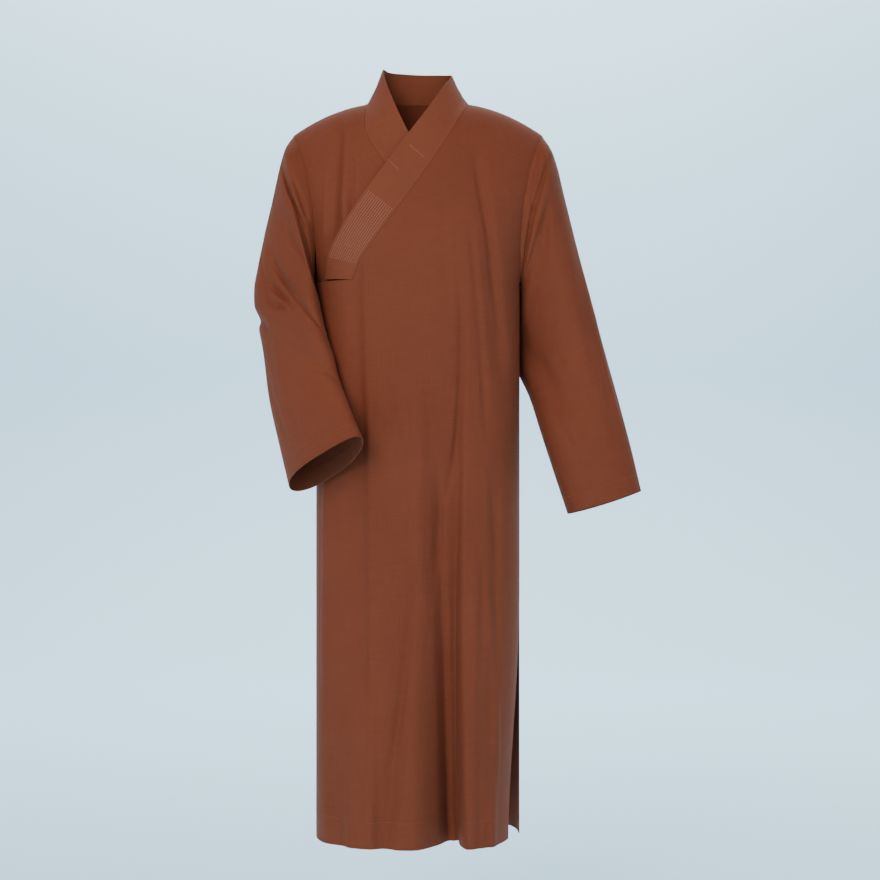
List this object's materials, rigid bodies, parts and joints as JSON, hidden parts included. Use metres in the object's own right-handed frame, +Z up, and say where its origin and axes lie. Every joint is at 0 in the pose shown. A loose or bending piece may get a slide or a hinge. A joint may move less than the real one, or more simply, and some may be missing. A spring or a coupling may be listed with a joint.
{
  "type": "buddhist monk robe",
  "caption": "Long crossed-collar monk's robe of plain woven cloth, worn and hollow, one arm bent and one straight.",
  "frame": {"origin": "at the base of the neck, midway between the shoulders, where the wearer carries the robe", "axes": "+Z up along the wearer's body, -Y out of the robe's front, +X to the wearer's left"},
  "size_m": [0.6384, 0.3215, 1.2749],
  "materials": {
    "robe_cloth": "matte plain weave",
    "band_cloth": "matte plain weave, layered and stitched"
  },
  "bodies": {
    "root": {"outer_front": "robe_cloth", "underlap": "robe_cloth", "back": "robe_cloth", "sleeve_left": "robe_cloth", "sleeve_right": "robe_cloth", "collar_band": "band_cloth"}
  },
  "joints": []
}
